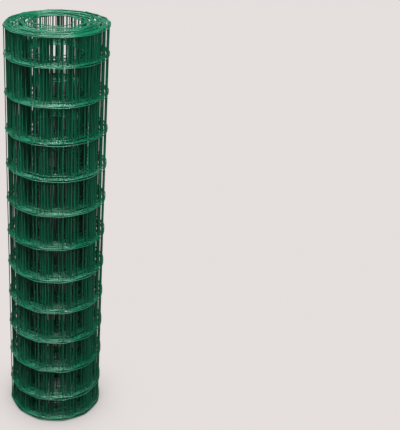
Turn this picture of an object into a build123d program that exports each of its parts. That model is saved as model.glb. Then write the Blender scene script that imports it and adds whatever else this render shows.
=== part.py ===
from build123d import *
import os

# A roll of welded wire fencing, standing on its end.
# Millimetres, the roll's axis on Z, the lower end on Z = 0.

# Wire and mesh
WIRE_D = 2.5            # coated wire, the same for line wires and cross wires
TALL_ROW = 101.6        # height of an ordinary row, between line wires' middles
TALL_ROWS = 10
EDGE_ROW = 76.2         # height of the shorter row along each edge
TIP = 7.0               # end of the roll, beyond the middle of the edge line wire: the cut
                        # tips, and the turns that stand a little higher or lower than others

# The roll
OUTER_R = 140.0         # over the outermost line wire
BORE_R = 63.0           # to the cross wires that line the bore
RINGS_SEEN = 9          # rings met on the way from the bore to the outside, each a bunch
                        # of three or four turns that lie close together
GAP_DEPTH = 15.0        # how far the gaps between the rings run in at each end
CROWN_W = 1.2           # flat crown of a line wire's band on the outside

# Sizes that follow from these
HEIGHT = TALL_ROWS * TALL_ROW + 2 * EDGE_ROW + 2 * TIP
WALL_R = OUTER_R - WIRE_D            # over the outermost cross wires
RING_T = 2 * WIRE_D                  # a cross wire with a line wire outside it
LAST_T = RING_T - WIRE_D             # the outermost turn's line wires are the beads
PITCH = (WALL_R - LAST_T - BORE_R) / (RINGS_SEEN - 1)
GAP_W = PITCH - RING_T


def block(r_low, r_high, z_low, z_high):
    """A rectangle of the turned outline, from one radius and height to another."""
    middle = Pos((r_low + r_high) / 2, (z_low + z_high) / 2)
    return middle * Rectangle(r_high - r_low, z_high - z_low)


# Heights of the line wires, from the lower edge up
line_heights = [TIP, TIP + EDGE_ROW]
for row in range(TALL_ROWS):
    line_heights.append(line_heights[-1] + TALL_ROW)
line_heights.append(line_heights[-1] + EDGE_ROW)

# Outline of the wound wall
outline = block(BORE_R, WALL_R, 0, HEIGHT)

# Gaps between the rings, open at both ends
gaps = []
for ring in range(RINGS_SEEN - 1):
    r_gap = BORE_R + ring * PITCH + RING_T
    gaps.append(block(r_gap, r_gap + GAP_W, -1, GAP_DEPTH))
    gaps.append(block(r_gap, r_gap + GAP_W, HEIGHT - GAP_DEPTH, HEIGHT + 1))
outline -= gaps

# Line wires of the outermost turn, lying outside its cross wires.
# Each is a band with sloping flanks, as wide and as deep as the wire.
beads = []
for z in line_heights:
    root = WIRE_D / 2
    crown = CROWN_W / 2
    corners = [(WALL_R - WIRE_D, z - root), (WALL_R, z - root), (OUTER_R, z - crown)]
    corners += [(OUTER_R, z + crown), (WALL_R, z + root), (WALL_R - WIRE_D, z + root)]
    beads.append(make_face(Polyline(*corners, close=True)))
outline += beads

# Turned about the roll's axis
fence_roll = revolve(Plane.XZ * outline, axis=Axis.Z)

os.makedirs("parts", exist_ok=True)
export_step(fence_roll, "parts/fence_roll.step")
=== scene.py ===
import bisect
import math
import bpy
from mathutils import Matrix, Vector


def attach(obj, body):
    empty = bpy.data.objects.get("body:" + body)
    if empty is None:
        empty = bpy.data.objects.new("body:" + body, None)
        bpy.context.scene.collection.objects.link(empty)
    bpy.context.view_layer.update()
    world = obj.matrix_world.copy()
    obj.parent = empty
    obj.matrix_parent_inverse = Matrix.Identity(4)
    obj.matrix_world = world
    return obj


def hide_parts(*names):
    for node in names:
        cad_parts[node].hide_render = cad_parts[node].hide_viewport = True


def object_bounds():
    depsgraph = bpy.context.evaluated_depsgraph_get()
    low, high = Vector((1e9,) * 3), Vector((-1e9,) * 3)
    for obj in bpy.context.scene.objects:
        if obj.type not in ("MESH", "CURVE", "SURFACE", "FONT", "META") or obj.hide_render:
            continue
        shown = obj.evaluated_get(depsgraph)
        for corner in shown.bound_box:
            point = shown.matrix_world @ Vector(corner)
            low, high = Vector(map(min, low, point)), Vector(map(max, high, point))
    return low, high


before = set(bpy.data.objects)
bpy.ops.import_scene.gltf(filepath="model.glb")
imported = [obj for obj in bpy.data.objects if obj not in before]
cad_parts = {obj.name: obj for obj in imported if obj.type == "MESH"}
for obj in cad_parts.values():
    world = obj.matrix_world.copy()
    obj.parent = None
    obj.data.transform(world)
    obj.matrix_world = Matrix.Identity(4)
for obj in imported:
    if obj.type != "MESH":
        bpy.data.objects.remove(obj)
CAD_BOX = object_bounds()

# Sizes of the fence, in metres
WIRE_D = 0.0025
WIRE_R = WIRE_D / 2
COAT_T = 0.00025                   # coat over the steel core, as it shows at a cut end
CORE_OUT = 0.0004                  # how far the core stands out there
TALL_ROW = 0.1016
TALL_ROWS = 10
EDGE_ROW = 0.0762
CELL = 0.0722                      # cross wire to cross wire along the fence
CELLS = 277
STUB = 0.004                       # line wire left past the first and last cross wire
PRESS = 0.0004                     # how far the wires are pressed into each other at a weld
BEAD_R = WIRE_R * 1.55             # bead of coating round a weld
BEAD_DEPTH = 0.62                  # its depth through the fence, as a share of its width
TIP_ROUND = WIRE_R * 0.35          # rounding of a cross wire's tips
WIRE_SIDES = 8
BEAD_SIDES = 6
BEAD_RINGS = 4
STEPS_PER_CELL = 8
STEPS_PER_ROW = 3
NEAR = 0.0001                      # points that are closer than this lie at one place
ROLL_HEIGHT = CAD_BOX[1].z - CAD_BOX[0].z
TIP_PLAY = 0.0050                  # the tips stop this far short of the roll's full height
OUTER_R = CAD_BOX[1].x
OFFSET = (WIRE_D - PRESS) / 2      # from the fence's mid plane to the middle of either wire

# Heights of the line wires, from the lower edge up
EDGE_Z = (ROLL_HEIGHT - TALL_ROWS * TALL_ROW - 2 * EDGE_ROW) / 2
LINE_HEIGHTS = [EDGE_Z, EDGE_Z + EDGE_ROW]
LINE_HEIGHTS += [EDGE_Z + EDGE_ROW + TALL_ROW * (row + 1) for row in range(TALL_ROWS)]
LINE_HEIGHTS += [LINE_HEIGHTS[-1] + EDGE_ROW]

# How the fence is rolled up
INNER_R = 0.06484                  # the fence's mid plane where the winding starts
LAST_R = OUTER_R - 0.0032          # and on the last turn
FULL_R = 0.1351                    # where it would be on the last turn if that lay close
GROWTH = 0.626                     # power that crowds the outer turns closer than the inner ones
TAUT = 1.0                         # 1 where a line wire runs straight between two cross wires
LAST_TAUT = 0.5                    # the same on the last turn
RIDE = 0.0004                      # least step between line wires that ride on one another
BUNCH = 3.57                       # turns in a bunch
BUNCH_WAVE = 0.0033                # how far bunches draw together
BUNCH_UNEVEN = 0.8                 # how unevenly they follow one another, radians
BUNCH_UNEVEN_WAVES = 1.23          # waves of that in a turn
BUNCH_START = 6.0                  # winding over which the first bunch begins, radians
SEEN_WIRE_AT = 8.75                # bearing of a cross wire in front on the last turn, degrees
LAST_STEP = 30.2                   # angle from one cross wire to the next there
PAST_FRONT = 5                     # cells from there to the outer end, which is at the back left
LAST_WIRE_AT = SEEN_WIRE_AT - PAST_FRONT * LAST_STEP
SPRING_LENGTH = 0.115              # stretch of the inner end that stands off the wall
SPRING_IN = 0.024                  # how far in its edge stands
CELLS_PER_TURN = 12                # on the outer turns
TELESCOPE = 8.2                    # turns from one that stands high to the next
TELESCOPE_UNEVEN = 0.9             # how unevenly they follow one another, radians
TELESCOPE_UNEVEN_WAVES = 0.71      # waves of that in a turn
BUNCH_RISE = 0.0020                # how far they stand above or below the middle
INNER_RISE = 0.0016                # how far the first turn stands above the others
LAST_DROP = 0.0018                 # how far the last turn stands below the others
LAST_STEADY = 0.7                  # share of the bunches' rise that it doesn't take part in
SLACK_IN = 0.020                   # how far the first turn hangs into the bore at the front
SLACK_RISE = 0.0012                # and how far it stands up there
SLACK_AT = 1.9                     # winding from the inner end to the middle of the slack, radians
SLIDE = 0.0080                     # all that the turns have to slide up and down in
LEAN = -3.6                        # twist of the roll from its foot to its top, degrees

# Stretches of the roll over which it changes, in turns from the inner end or from the outer end
SLACK_ENDS = (0.5, 2.8)            # from the inner end, where it stops hanging loose
INNER_RISE_ENDS = (0.5, 2.5)       # where it stops standing high
BUNCHES_END = (1.0, 3.0)           # from the outer end, where the bunches even out
LAST_TURN = (0.85, 1.0)            # where it takes the last turn's own radius
LAST_DROP_STARTS = (0.8, 1.3)      # where it begins to hang low
SLACKENS = (0.6, 3.0)              # where the line wires' straight spans give way to rounder ones

# Slow waves that the flat fence is shaken with: name, noise, length of a wave, size and direction
WAVES = [
    ("bow", "ORIGINAL_PERLIN", 0.19, 0.0008, "Y"),
    ("drift", "IMPROVED_PERLIN", 0.23, 0.0024, "X"),
    ("slip", "ORIGINAL_PERLIN", 0.50, 0.0040, "X"),
    ("lift", "BLENDER_ORIGINAL", 0.16, 0.0060, "Z"),
]

# The camera, worked out from the roll's rings in the photograph
FOCAL_PIXELS = 864.8
PHOTO_WIDTH = 400
PHOTO_HEIGHT = 430
AXIS_COLUMN = 57.0                 # picture column that the camera's own axis falls on
CAMERA_AT = (0.0020, -2.1786, 1.7348)
CAMERA_DOWN = 26.93
CAMERA_ROLL = 0.255
SENSOR = 36.0
CLIP_START = 0.05

# Colours of the coat, the cut ends and the studio
COAT_GREEN = (0.0020, 0.175, 0.085, 1)
COAT_DEEP = (0.0010, 0.125, 0.062, 1)
COAT_LIGHT = (0.0060, 0.225, 0.115, 1)
DUST = (0.140, 0.290, 0.220, 1)
STEEL_GREY = (0.40, 0.41, 0.42, 1)
STEEL_DULL = (0.20, 0.19, 0.18, 1)
FLOOR_PALE = (0.83, 0.778, 0.763, 1)
FLOOR_FELT = (0.10, 0.10, 0.10, 1)
# painted shade: the floor's colour where the mesh stands close over it
FLOOR_PAINTED_SHADE = (0.05, 0.05, 0.05, 1)
STUDIO_FILL = (0.9, 0.88, 0.88, 1)

# Floor and lamps
FLOOR_SIZE = 12
# reach of the painted shade, worked out by ambient occlusion
PAINTED_SHADE_REACH = 0.30                 # how near the mesh darkens the floor under it
PALE_MIRRORED = 0.1                # share of the pale floor and backdrop that shows in the gloss
FILL = 0.01                        # strength of the light from all round
LAMPS = {                          # place, point that it faces, width and height, power in watts
    "key_light": ((-0.6, -1.3, 4.7), (0, 0, 0.6), (4.0, 0.3), 305),
    "back_light": ((-1.0, 2.4, 3.8), (0, 0, 1.15), (2.0, 0.3), 18),
    "front_light": ((3.5, -4.5, 5.5), (0, 0, 0.6), (0.8, 0.8), 195),
}
FLOOR_LIGHT_AT = (-0.1, -20.0, 8.4)
FLOOR_LIGHT_R = 0.45
FLOOR_LIGHT_POWER = 37


def put_camera():
    """The eye-level camera that looks down on the roll."""
    bpy.ops.object.camera_add(location=CAMERA_AT)
    camera = bpy.context.object
    camera.name = "view_camera"
    camera.rotation_mode = "ZYX"
    camera.rotation_euler = (math.radians(90 - CAMERA_DOWN), 0, math.radians(CAMERA_ROLL))
    camera.data.sensor_width = SENSOR
    camera.data.lens = SENSOR * FOCAL_PIXELS / PHOTO_HEIGHT
    camera.data.shift_x = (PHOTO_WIDTH / 2 - AXIS_COLUMN) / PHOTO_HEIGHT
    camera.data.clip_start = CLIP_START
    bpy.context.scene.camera = camera


# Handling of objects

def only(obj):
    """Makes one object the selected and active one."""
    bpy.ops.object.select_all(action="DESELECT")
    obj.select_set(True)
    bpy.context.view_layer.objects.active = obj


def edit(obj):
    """Opens an object for editing with nothing selected."""
    only(obj)
    bpy.ops.object.mode_set(mode="EDIT")
    bpy.ops.mesh.select_all(action="DESELECT")


def close_edit():
    """Goes back to object mode."""
    bpy.ops.object.mode_set(mode="OBJECT")


def pick(obj, wanted, kind="VERT"):
    """Selects the vertices whose place meets a test, from edit mode."""
    bpy.ops.mesh.select_mode(type="VERT")
    bpy.ops.mesh.select_all(action="DESELECT")
    bpy.ops.object.mode_set(mode="OBJECT")
    for vertex in obj.data.vertices:
        vertex.select = bool(wanted(vertex.co))
    bpy.ops.object.mode_set(mode="EDIT")
    bpy.ops.mesh.select_mode(type=kind)


def settle(obj):
    """Writes an object's place, turn and size into its mesh."""
    only(obj)
    bpy.ops.object.transform_apply(location=True, rotation=True, scale=True)


def finish_with(obj, kind, **settings):
    """Adds one modifier and applies it."""
    only(obj)
    modifier = obj.modifiers.new(kind.lower(), kind)
    for name, value in settings.items():
        setattr(modifier, name, value)
    bpy.ops.object.modifier_apply(modifier=modifier.name)


def joined(objects, name):
    """Joins several objects into the first of them."""
    only(objects[0])
    for obj in objects:
        obj.select_set(True)
    bpy.context.view_layer.objects.active = objects[0]
    bpy.ops.object.join()
    objects[0].name = name
    return objects[0]


def twin(obj, shift):
    """A copy with its own mesh, moved over."""
    only(obj)
    bpy.ops.object.duplicate(linked=False)
    copy = bpy.context.object
    copy.location = Vector(shift)
    settle(copy)
    return copy


# The flat fence, laid out along X with its lower edge on Z = 0

def make_line_wire():
    """One line wire at height nought, with its two cut ends."""
    bpy.ops.mesh.primitive_circle_add(
        vertices=WIRE_SIDES, radius=WIRE_R, location=(STUB, OFFSET, 0),
        rotation=(0, math.radians(90), 0))
    wire = bpy.context.object
    settle(wire)
    edit(wire)
    bpy.ops.mesh.select_all(action="SELECT")
    for step in range(STEPS_PER_CELL):
        bpy.ops.mesh.extrude_region_move(
            TRANSFORM_OT_translate={"value": (CELL / STEPS_PER_CELL, 0, 0)})
    close_edit()
    finish_with(wire, "ARRAY", count=CELLS, use_relative_offset=False, use_constant_offset=True,
                constant_offset_displace=(CELL, 0, 0), use_merge_vertices=True,
                merge_threshold=NEAR)
    wire.data.materials.append(COAT)
    wire.data.materials.append(CUT_STEEL)
    wire.active_material_index = 1
    edit(wire)
    far = STUB + CELLS * CELL
    for edge_x, way in ((STUB, -1), (far, 1)):
        pick(wire, lambda co: abs(co.x - edge_x) < NEAR, "EDGE")
        bpy.ops.mesh.extrude_region_move(TRANSFORM_OT_translate={"value": (way * STUB, 0, 0)})
        bpy.ops.mesh.edge_face_add()
        bpy.ops.mesh.inset(thickness=COAT_T)
        bpy.ops.object.material_slot_assign()
        bpy.ops.mesh.extrude_region_move(
            TRANSFORM_OT_translate={"value": (way * CORE_OUT, 0, 0)})
    bpy.ops.mesh.select_all(action="SELECT")
    bpy.ops.mesh.normals_make_consistent(inside=False)
    close_edit()
    return wire


def make_line_wires():
    """All the line wires, as a lower, a middle and an upper set."""
    first = make_line_wire()
    wires = [twin(first, (0, 0, height)) for height in LINE_HEIGHTS[1:]]
    first.location.z = LINE_HEIGHTS[0]
    settle(first)
    wires.insert(0, first)
    return [joined(wires[:4], "lower_line_wires"), joined(wires[4:9], "middle_line_wires"),
            joined(wires[9:], "upper_line_wires")]


def make_cross_wires():
    """All the cross wires, each with softly rounded tips."""
    foot = TIP_PLAY
    bpy.ops.mesh.primitive_circle_add(
        vertices=WIRE_SIDES, radius=WIRE_R, fill_type="NGON", location=(STUB, -OFFSET, foot))
    wires = bpy.context.object
    wires.data.materials.append(COAT)
    settle(wires)
    edit(wires)
    bpy.ops.mesh.select_all(action="SELECT")
    stops = [foot] + LINE_HEIGHTS + [ROLL_HEIGHT - TIP_PLAY]
    for low, high in zip(stops, stops[1:]):
        steps = STEPS_PER_ROW if high - low > EDGE_ROW / 2 else 1
        for step in range(steps):
            bpy.ops.mesh.extrude_region_move(
                TRANSFORM_OT_translate={"value": (0, 0, (high - low) / steps)})
    for level in (stops[0], stops[-1]):
        pick(wires, lambda co: abs(co.z - level) < NEAR, "FACE")
        bpy.ops.mesh.bevel(offset=TIP_ROUND, segments=2, affect="EDGES")
    bpy.ops.mesh.select_all(action="SELECT")
    bpy.ops.mesh.normals_make_consistent(inside=False)
    close_edit()
    finish_with(wires, "ARRAY", count=CELLS + 1, use_relative_offset=False,
                use_constant_offset=True, constant_offset_displace=(CELL, 0, 0))
    wires.name = "cross_wires"
    return wires


def make_welds():
    """The beads of coating that fill the corner round each weld."""
    bpy.ops.mesh.primitive_uv_sphere_add(
        segments=BEAD_SIDES, ring_count=BEAD_RINGS, radius=BEAD_R, location=(STUB, 0, 0),
        rotation=(math.radians(90), 0, 0))
    bead = bpy.context.object
    bead.data.materials.append(COAT)
    bead.scale = (1.0, 1.0, BEAD_DEPTH)
    settle(bead)
    beads = [twin(bead, (0, 0, height)) for height in LINE_HEIGHTS[1:]]
    bead.location.z = LINE_HEIGHTS[0]
    settle(bead)
    beads = joined([bead] + beads, "weld_beads")
    finish_with(beads, "ARRAY", count=CELLS + 1, use_relative_offset=False,
                use_constant_offset=True, constant_offset_displace=(CELL, 0, 0))
    return beads


# The winding

def ease(low, high, value):
    """Rises gently from 0 at one value to 1 at another."""
    part = min(max((value - low) / (high - low), 0.0), 1.0)
    return part * part * (3 - 2 * part)


def bunch_phase(spin):
    """Where a place on the winding lies in its bunch of turns, as an angle."""
    return spin / BUNCH + BUNCH_UNEVEN * math.sin(BUNCH_UNEVEN_WAVES * spin)


def slack(spin):
    """How loosely a place on the first turns hangs, from 0 to 1. It is most in front."""
    turns = spin / (2 * math.pi)
    return max(0.0, math.cos(spin - SLACK_AT)) ** 2 * (1 - ease(*SLACK_ENDS, turns))


def free_radius(spin, turns_left):
    """Radius that the fence takes up where nothing pushes it out, in bunches with gaps between."""
    wave = math.sin(bunch_phase(spin)) * min(spin / BUNCH_START, 1.0) * ease(*BUNCHES_END, turns_left)
    share = 1 - turns_left * CELLS_PER_TURN / CELLS
    radius = INNER_R + (FULL_R - INNER_R) * share ** GROWTH
    radius += BUNCH_WAVE * wave - SLACK_IN * slack(spin)
    return radius + (LAST_R - radius) * (1 - ease(*LAST_TURN, turns_left))


def stand(spin, turns_left):
    """How far a place on the winding stands above the roll's middle height, or below it."""
    uneven = TELESCOPE_UNEVEN * math.sin(TELESCOPE_UNEVEN_WAVES * spin)
    bunch = BUNCH_RISE * math.sin(spin / TELESCOPE + uneven) * min(spin / BUNCH_START, 1.0)
    outer = 1 - ease(*LAST_DROP_STARTS, turns_left)
    inner = 1 - ease(*INNER_RISE_ENDS, spin / (2 * math.pi))
    rise = bunch * (1 - LAST_STEADY * outer) + INNER_RISE * inner + SLACK_RISE * slack(spin)
    return rise - LAST_DROP * outer


def turn_through(first_radius, radius, length):
    """Angle that a straight step of the fence turns through, from one radius to another."""
    return math.acos((first_radius ** 2 + radius ** 2 - length ** 2) / (2 * first_radius * radius))


def wind_up():
    """Winds the fence turn on turn round the hollow core. Gives its spin and radius at each step."""
    step = CELL / STEPS_PER_CELL
    spins = [0.0]
    radii = [INNER_R - SPRING_IN]

    def turn_below(spin):
        """Radius of the turn that lies under a place, which is nought on the first turn."""
        spin -= 2 * math.pi
        if spin <= 0:
            return 0.0
        after = min(bisect.bisect_right(spins, spin), len(spins) - 1)
        share = (spin - spins[after - 1]) / (spins[after] - spins[after - 1])
        return radii[after - 1] + (radii[after] - radii[after - 1]) * share

    next_radius = INNER_R
    for cell in range(CELLS):
        first_radius = next_radius
        turns_left = (CELLS - cell) / CELLS_PER_TURN
        taut = LAST_TAUT + (TAUT - LAST_TAUT) * ease(*SLACKENS, turns_left)
        sag = taut * CELL ** 2 / (8 * first_radius)
        next_spin = spins[-1] + CELL / first_radius
        lying_on = turn_below(next_spin) + 2 * WIRE_D - PRESS
        next_radius = max(free_radius(next_spin, turns_left), lying_on)
        for count in range(1, STEPS_PER_CELL + 1):
            part = count / STEPS_PER_CELL
            radius = first_radius + (next_radius - first_radius) * part - 4 * sag * part * (1 - part)
            if count < STEPS_PER_CELL:
                radius = max(radius, turn_below(spins[-1] + step / radii[-1]) + RIDE)
            radius -= SPRING_IN * max(0.0, 1 - (cell + part) * CELL / SPRING_LENGTH) ** 2
            spins.append(spins[-1] + turn_through(radii[-1], radius, step))
            radii.append(radius)
    return spins, radii


def make_winding_path(spins, radii):
    """The path that the fence follows, from its inner end outwards, and where the fence starts on it."""
    step = CELL / STEPS_PER_CELL
    before = 2 * radii[0] - radii[1]
    after = 2 * radii[-1] - radii[-2]
    path_spins = [spins[0] - turn_through(radii[0], before, step)] + spins
    path_spins.append(spins[-1] + turn_through(radii[-1], after, step))
    path_radii = [before] + radii + [after]
    points = []
    for spin, radius in zip(path_spins, path_radii):
        bearing = math.radians(LAST_WIRE_AT) - (spin - spins[-1])
        points.append(Vector((radius * math.sin(bearing), -radius * math.cos(bearing), 0)))
    curve = bpy.data.curves.new("winding_path", "CURVE")
    curve.dimensions = "3D"
    curve.twist_mode = "Z_UP"
    curve.resolution_u = 1
    spline = curve.splines.new("POLY")
    spline.points.add(len(points) - 1)
    for place, point in zip(spline.points, points):
        place.co = (*point, 1.0)
    path = bpy.data.objects.new("winding_path", curve)
    bpy.context.collection.objects.link(path)
    return path, step - STUB


def shake(fence, name, basis, size, strength, axis):
    """Small waves all over the fence, as wire that has been handled has."""
    waves = bpy.data.textures.new(name, "CLOUDS")
    waves.noise_basis = basis
    waves.noise_scale = size
    waves.noise_depth = 1
    finish_with(fence, "DISPLACE", texture=waves, texture_coords="LOCAL", direction=axis,
                mid_level=0.5, strength=strength)
    bpy.data.textures.remove(waves)


def mark_slide(fence, spins):
    """Marks how high each stretch of the fence stands in the roll, from 0 for the lowest it may to 1."""
    group = fence.vertex_groups.new(name="slide")
    step = CELL / STEPS_PER_CELL
    stretches = [[] for spin in spins]
    for vertex in fence.data.vertices:
        nearest = round((vertex.co.x - STUB) / step)
        stretches[min(max(nearest, 0), len(spins) - 1)].append(vertex.index)
    for index, (spin, stretch) in enumerate(zip(spins, stretches)):
        turns_left = (CELLS - index / STEPS_PER_CELL) / CELLS_PER_TURN
        group.add(stretch, 0.5 + stand(spin, turns_left) / SLIDE, "REPLACE")


def roll_up(pieces):
    """Waves, winds and twists all the wires together, so that they stay joined, and parts them again."""
    for piece in pieces:
        piece.vertex_groups.new(name=piece.name)
        piece.vertex_groups[0].add(range(len(piece.data.vertices)), 1.0, "REPLACE")
    names = [piece.name for piece in pieces]
    fence = joined(pieces, "fence")
    for wave in WAVES:
        shake(fence, *wave)
    spins, radii = wind_up()
    mark_slide(fence, spins)
    finish_with(fence, "DISPLACE", direction="Z", mid_level=0, strength=SLIDE, vertex_group="slide")
    path, start = make_winding_path(spins, radii)
    fence.location = (start, 0, -SLIDE / 2)
    settle(fence)
    finish_with(fence, "CURVE", object=path, deform_axis="POS_X")
    finish_with(fence, "SIMPLE_DEFORM", deform_method="TWIST", deform_axis="Z",
                angle=math.radians(LEAN))
    bpy.data.objects.remove(path)
    parts = []
    for name in names[1:]:
        edit(fence)
        fence.vertex_groups.active_index = fence.vertex_groups[name].index
        bpy.ops.object.vertex_group_select()
        bpy.ops.mesh.separate(type="SELECTED")
        close_edit()
        part = [o for o in bpy.context.selected_objects if o is not fence][0]
        part.name = name
        parts.append(part)
    fence.name = names[0]
    return [fence] + parts


# Finishes

class Amount:
    """One output of a finish's nodes. A sum written with it adds the Math node that works it out."""

    def __init__(self, finish, socket):
        self.finish = finish
        self.socket = socket

    def worked_out(self, operation, first, second):
        """Adds a Math node for two amounts or numbers."""
        return self.finish.node("ShaderNodeMath", {"operation": operation}, {0: first, 1: second})

    def __add__(self, other):
        return self.worked_out("ADD", self, other)

    def __radd__(self, other):
        return self.worked_out("ADD", other, self)

    def __mul__(self, other):
        return self.worked_out("MULTIPLY", self, other)

    def __rmul__(self, other):
        return self.worked_out("MULTIPLY", other, self)

    def __truediv__(self, other):
        return self.worked_out("DIVIDE", self, other)

    def __rtruediv__(self, other):
        return self.worked_out("DIVIDE", other, self)


class Finish:
    """The nodes of one material, lamp or world."""

    def __init__(self, owner, output="ShaderNodeOutputMaterial"):
        owner.use_nodes = True
        self.tree = owner.node_tree
        self.tree.nodes.clear()
        self.output = self.tree.nodes.new(output)

    def feed(self, socket, value):
        """Links an amount to a socket, or writes a plain value on it."""
        if isinstance(value, Amount):
            self.tree.links.new(value.socket, socket)
        else:
            socket.default_value = value

    def node(self, kind, settings=None, inputs=None, output=0):
        """Adds a node with its settings and its sockets' values or links. Gives one of its outputs."""
        node = self.tree.nodes.new(kind)
        for name, value in (settings or {}).items():
            setattr(node, name, value)
        for name, value in (inputs or {}).items():
            self.feed(node.inputs[name], value)
        return Amount(self, node.outputs[output])

    def noise(self, place, scale, detail, roughness=0.5):
        """Soft uneven spots, from 0 to 1."""
        sockets = {"Vector": place, "Scale": scale, "Detail": detail, "Roughness": roughness}
        return self.node("ShaderNodeTexNoise", {}, sockets, "Fac")

    def rise(self, value, low, high):
        """Goes smoothly from 0 to 1 while a value goes from low to high."""
        return self.node("ShaderNodeMapRange", {"interpolation_type": "SMOOTHSTEP"},
                         {"Value": value, "From Min": low, "From Max": high}, "Result")

    def blend(self, share, first, second):
        """Mixes two colours."""
        return self.node("ShaderNodeMix", {"data_type": "RGBA"}, {0: share, 6: first, 7: second}, 2)

    def show(self, surface):
        """Puts a shader on the output."""
        self.feed(self.output.inputs["Surface"], surface)


def make_coat():
    """Glossy green plastic, uneven in colour and gloss, with fine waves, scuffs and some dust on top."""
    material = bpy.data.materials.new("green_plastic_coat")
    coat = Finish(material)
    place = coat.node("ShaderNodeTexCoord", output="Object")
    cloud = coat.noise(place, scale=7.0, detail=3.0)
    streak_place = coat.node("ShaderNodeMapping", {}, {"Vector": place, "Scale": (1.0, 1.0, 0.2)})
    streak = coat.noise(streak_place, scale=160.0, detail=3.0, roughness=0.6)
    grain = coat.noise(place, scale=1400.0, detail=2.0)
    rubs = coat.noise(streak_place, scale=520.0, detail=4.0, roughness=0.7)
    scuff = coat.rise(rubs, 0.60, 0.68)
    normal = coat.node("ShaderNodeNewGeometry", output="Normal")
    upward = coat.node("ShaderNodeSeparateXYZ", {}, {0: normal}, "Z")
    dust = coat.rise(upward, 0.35, 1.0) * coat.rise(cloud, 0.45, 0.70) * 0.30
    colour = coat.blend(coat.rise(streak, 0.35, 0.65), COAT_DEEP, COAT_GREEN)
    colour = coat.blend(coat.rise(cloud, 0.40, 0.75) * 0.5 + scuff * 0.35, colour, COAT_LIGHT)
    colour = coat.blend(dust, colour, DUST)
    bump = coat.node("ShaderNodeBump", {}, {
        "Strength": 0.25, "Distance": 0.0002, "Height": grain + streak}, "Normal")
    coat.show(coat.node("ShaderNodeBsdfPrincipled", {}, {
        "Base Color": colour, "Roughness": 0.26 + 0.12 * streak + 0.20 * scuff + 0.35 * dust,
        "Coat Weight": 0.4, "Coat Roughness": 0.12, "Normal": bump}))
    return material


def make_cut_steel():
    """The steel core where a line wire was cut, with a breath of rust."""
    material = bpy.data.materials.new("cut_steel")
    steel = Finish(material)
    place = steel.node("ShaderNodeTexCoord", output="Object")
    patch = steel.noise(place, scale=900.0, detail=3.0)
    steel.show(steel.node("ShaderNodeBsdfPrincipled", {}, {
        "Base Color": steel.blend(steel.rise(patch, 0.4, 0.7), STEEL_GREY, STEEL_DULL),
        "Metallic": 1.0, "Roughness": 0.32 + 0.25 * patch}))
    return material


def make_floor():
    """A pale floor with painted shade, darker where the mesh stands close over it, that throws only a
    little of its light back onto the roll.
    """
    bpy.ops.mesh.primitive_plane_add(size=FLOOR_SIZE)
    floor = bpy.context.object
    floor.name = "floor"
    material = bpy.data.materials.new("pale_floor")
    pale = Finish(material)
    seen = pale.node("ShaderNodeLightPath", output="Is Camera Ray")
    mirrored = pale.node("ShaderNodeLightPath", output="Is Glossy Ray")
    through = pale.node("ShaderNodeLightPath", output="Is Transmission Ray")
    felt = pale.node("ShaderNodeBsdfDiffuse", {}, {"Color": FLOOR_FELT})
    # Painted shade: ambient occlusion darkens the floor's colour where the mesh is near
    painted_shade_mask = pale.node("ShaderNodeAmbientOcclusion", {"samples": 12}, {"Distance": PAINTED_SHADE_REACH}, "AO")
    colour = pale.blend(pale.rise(painted_shade_mask, 0.0, 0.9), FLOOR_PAINTED_SHADE, FLOOR_PALE)
    bright = pale.node("ShaderNodeBsdfDiffuse", {}, {"Color": colour})
    share = seen + through + mirrored * PALE_MIRRORED
    pale.show(pale.node("ShaderNodeMixShader", {}, {0: share, 1: felt, 2: bright}))
    floor.data.materials.append(material)
    return floor


# Light

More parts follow.
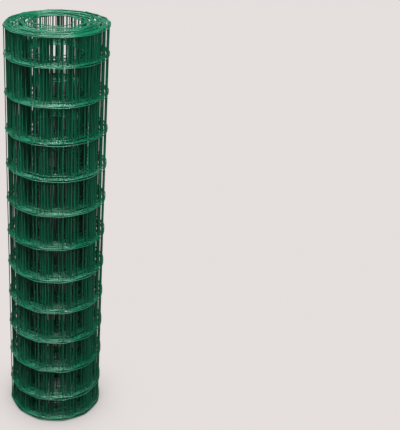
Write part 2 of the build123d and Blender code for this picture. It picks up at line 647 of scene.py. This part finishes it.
def light_studio():
    """Dim even light from all round, and a pale backdrop."""
    world = bpy.data.worlds.new("studio")
    bpy.context.scene.world = world
    room = Finish(world, "ShaderNodeOutputWorld")
    seen = room.node("ShaderNodeLightPath", output="Is Camera Ray")
    mirrored = room.node("ShaderNodeLightPath", output="Is Glossy Ray")
    through = room.node("ShaderNodeLightPath", output="Is Transmission Ray")
    fill = room.node("ShaderNodeBackground", {}, {"Color": STUDIO_FILL, "Strength": FILL})
    backdrop = room.node("ShaderNodeBackground", {}, {"Color": FLOOR_PALE, "Strength": 1.0})
    share = seen + through + mirrored * PALE_MIRRORED
    room.show(room.node("ShaderNodeMixShader", {}, {0: share, 1: fill, 2: backdrop}))


def soft_light(name, place, target, size, energy):
    """A soft box that faces a point."""
    bpy.ops.object.light_add(type="AREA", location=place)
    lamp = bpy.context.object
    lamp.name = name
    lamp.rotation_euler = (Vector(target) - Vector(place)).to_track_quat("-Z", "Y").to_euler()
    lamp.data.shape = "RECTANGLE"
    lamp.data.size, lamp.data.size_y = size
    lamp.data.energy = energy
    return lamp


def keep_off_floor(lamp, floor):
    """Makes a lamp light everything but the floor."""
    group = bpy.data.collections.new(lamp.name + "_off")
    group.objects.link(floor)
    group.collection_objects[0].light_linking.link_state = "EXCLUDE"
    lamp.light_linking.receiver_collection = group


def light_floor(floor):
    """A lamp for the floor alone. Its light doesn't fade with distance or slant, so it looks even."""
    bpy.ops.object.light_add(type="POINT", location=FLOOR_LIGHT_AT)
    lamp = bpy.context.object
    lamp.name = "floor_light"
    lamp.data.shadow_soft_size = FLOOR_LIGHT_R
    lamp.data.energy = FLOOR_LIGHT_POWER
    even = Finish(lamp.data, "ShaderNodeOutputLight")
    way = even.node("ShaderNodeTexCoord", output="Normal")
    slant = even.node("ShaderNodeSeparateXYZ", {}, {0: way}, "Z")
    steepness = even.node("ShaderNodeMath", {"operation": "ABSOLUTE"}, {0: slant})
    strength = even.node("ShaderNodeLightFalloff", {}, {"Strength": 1.0 / steepness}, "Constant")
    even.show(even.node("ShaderNodeEmission", {}, {"Strength": strength}))
    group = bpy.data.collections.new("floor_light_on")
    group.objects.link(floor)
    lamp.light_linking.receiver_collection = group


# The whole scene

put_camera()
COAT = make_coat()
CUT_STEEL = make_cut_steel()
wire_sets = roll_up(make_line_wires() + [make_cross_wires(), make_welds()])
for piece in wire_sets:
    only(piece)
    bpy.ops.object.shade_smooth()
    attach(piece, "root")
    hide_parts("fence_roll")

bpy.context.scene.view_settings.view_transform = "Standard"
floor = make_floor()
light_studio()
for name, (place, target, size, energy) in LAMPS.items():
    keep_off_floor(soft_light(name, place, target, size, energy), floor)
light_floor(floor)
